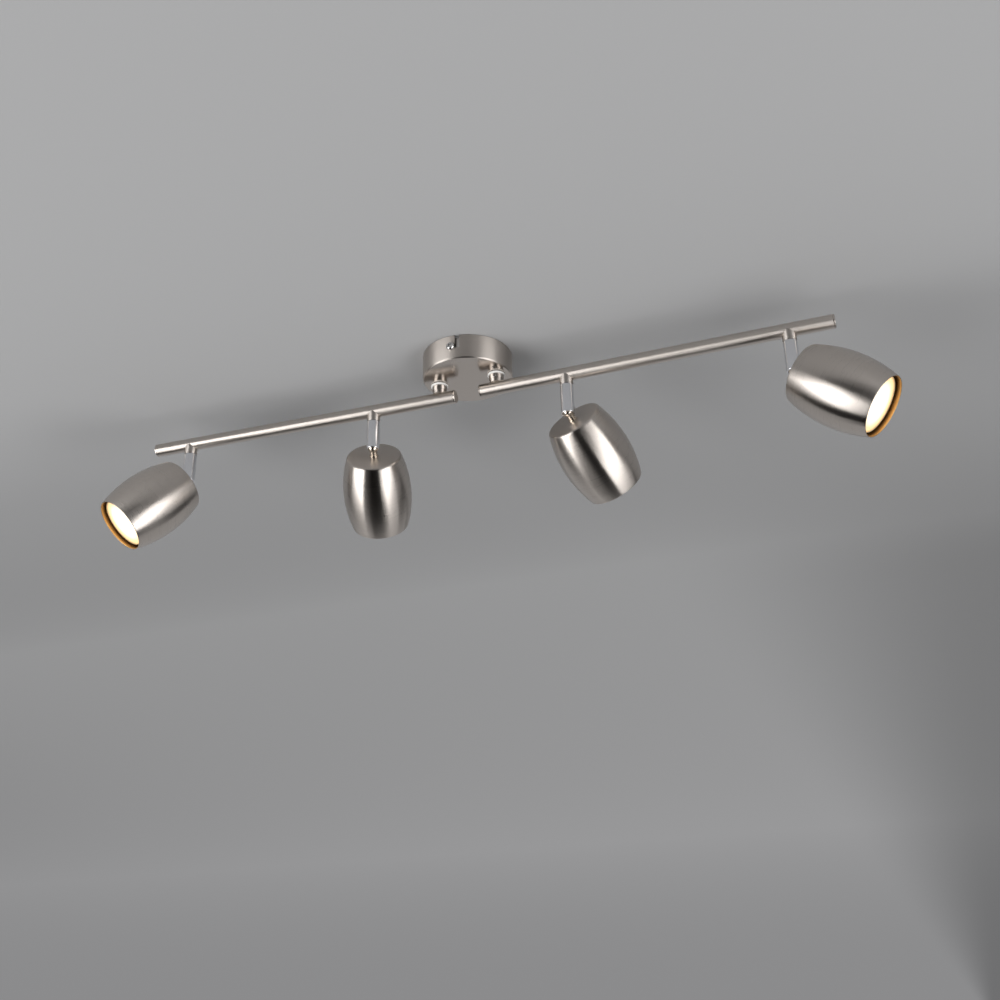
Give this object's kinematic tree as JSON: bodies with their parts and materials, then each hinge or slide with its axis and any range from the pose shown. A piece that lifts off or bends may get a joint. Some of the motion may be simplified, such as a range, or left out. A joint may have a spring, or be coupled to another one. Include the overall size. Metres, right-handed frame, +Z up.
{
  "type": "track lighting fixture",
  "caption": "Ceiling spotlight bar: round canopy, swinging rail arms, and barrel-shaped shades that turn and tilt on chrome stems around lit reflector lamps.",
  "frame": {"origin": "centre of the canopy's top, on the ceiling plane, on the mounting bracket", "axes": "+Z up into the ceiling, +X along the arms to the right-hand arm, +Y away from the side the fixture is seen from"},
  "size_m": [0.7455, 0.1618, 0.1584],
  "materials": {
    "brushed_nickel": "satin brushed nickel, brushed round each turned piece and along the rails",
    "chrome": "polished chrome plate",
    "zinc_steel": "dull zinc-plated steel",
    "brass": "plain turned brass",
    "knuckle_nickel": "bright nickel plate, slightly warm",
    "white_nylon": "white moulded nylon",
    "ceramic": "unglazed steatite",
    "lamp_body": "white moulded lamp housing",
    "lamp_lens": "frosted lens, lit warm white"
  },
  "bodies": {
    "canopy": {"canopy_cup": "brushed_nickel", "mounting_bracket": "zinc_steel", "terminal_block": "white_nylon", "earth_screw": "brass", "side_screw_front": "chrome", "side_screw_back": "chrome"},
    "arm_left": {"swivel_post_left": "brushed_nickel", "friction_washer_left": "white_nylon", "lock_nut_left": "zinc_steel", "grub_screw_left": "zinc_steel", "rail_tube_left": "brushed_nickel", "inner_end_cap_left": "brushed_nickel", "outer_end_cap_left": "brushed_nickel", "stem_sleeve_1": "brushed_nickel", "stem_sleeve_2": "brushed_nickel"},
    "arm_right": {"swivel_post_right": "brushed_nickel", "friction_washer_right": "white_nylon", "lock_nut_right": "zinc_steel", "grub_screw_right": "zinc_steel", "rail_tube_right": "brushed_nickel", "inner_end_cap_right": "brushed_nickel", "outer_end_cap_right": "brushed_nickel", "stem_sleeve_3": "brushed_nickel", "stem_sleeve_4": "brushed_nickel"},
    "stem_1": {"stem_tube_1": "chrome", "ball_seat_1": "white_nylon"},
    "head_1": {"knuckle_1": "knuckle_nickel", "shade_1": "brushed_nickel", "shade_nut_1": "zinc_steel", "lamp_holder_1": "ceramic", "lamp_body_1": "lamp_body", "lamp_lens_1": "lamp_lens"},
    "stem_2": {"stem_tube_2": "chrome", "ball_seat_2": "white_nylon"},
    "head_2": {"knuckle_2": "knuckle_nickel", "shade_2": "brushed_nickel", "shade_nut_2": "zinc_steel", "lamp_holder_2": "ceramic", "lamp_body_2": "lamp_body", "lamp_lens_2": "lamp_lens"},
    "stem_3": {"stem_tube_3": "chrome", "ball_seat_3": "white_nylon"},
    "head_3": {"knuckle_3": "knuckle_nickel", "shade_3": "brushed_nickel", "shade_nut_3": "zinc_steel", "lamp_holder_3": "ceramic", "lamp_body_3": "lamp_body", "lamp_lens_3": "lamp_lens"},
    "stem_4": {"stem_tube_4": "chrome", "ball_seat_4": "white_nylon"},
    "head_4": {"knuckle_4": "knuckle_nickel", "shade_4": "brushed_nickel", "shade_nut_4": "zinc_steel", "lamp_holder_4": "ceramic", "lamp_body_4": "lamp_body", "lamp_lens_4": "lamp_lens"}
  },
  "joints": [
    {"name": "arm_left_swing", "type": "hinge", "parent": "canopy", "child": "arm_left", "pos_m": [-0.0289, 0, -0.0393], "axis": [0, 0, 1], "range_deg": [-92, 88]},
    {"name": "arm_right_swing", "type": "hinge", "parent": "canopy", "child": "arm_right", "pos_m": [0.0289, 0, -0.0393], "axis": [0, 0, 1], "range_deg": [-90.3, 89.7]},
    {"name": "spot_1_turn", "type": "hinge", "parent": "arm_left", "child": "stem_1", "pos_m": [-0.29844, -0.00941, -0.0655], "axis": [0, 0, 1], "range_deg": [-133.3, 216.7]},
    {"name": "spot_1_tilt", "type": "hinge", "parent": "stem_1", "child": "head_1", "pos_m": [-0.29844, -0.00941, -0.0783], "axis": [-0.7466, 0.6652, 0], "range_deg": [-44.9, 40.1]},
    {"name": "spot_2_turn", "type": "hinge", "parent": "arm_left", "child": "stem_2", "pos_m": [-0.09696, -0.00238, -0.0655], "axis": [0, 0, 1], "range_deg": [-13.8, 336.2]},
    {"name": "spot_2_tilt", "type": "hinge", "parent": "stem_2", "child": "head_2", "pos_m": [-0.09696, -0.00238, -0.0783], "axis": [0.9466, 0.3223, 0], "range_deg": [-54.7, 30.3]},
    {"name": "spot_3_turn", "type": "hinge", "parent": "arm_right", "child": "stem_3", "pos_m": [0.097, 0.00036, -0.0655], "axis": [0, 0, 1], "range_deg": [-335.7, 14.3]},
    {"name": "spot_3_tilt", "type": "hinge", "parent": "stem_3", "child": "head_3", "pos_m": [0.097, 0.00036, -0.0783], "axis": [0.9438, -0.3305, 0], "range_deg": [-54.9, 30.1]},
    {"name": "spot_4_turn", "type": "hinge", "parent": "arm_right", "child": "stem_4", "pos_m": [0.2986, 0.00141, -0.0655], "axis": [0, 0, 1], "range_deg": [-259, 91]},
    {"name": "spot_4_tilt", "type": "hinge", "parent": "stem_4", "child": "head_4", "pos_m": [0.2986, 0.00141, -0.0783], "axis": [-0.1045, -0.9945, 0], "range_deg": [-51.7, 33.3]}
  ]
}
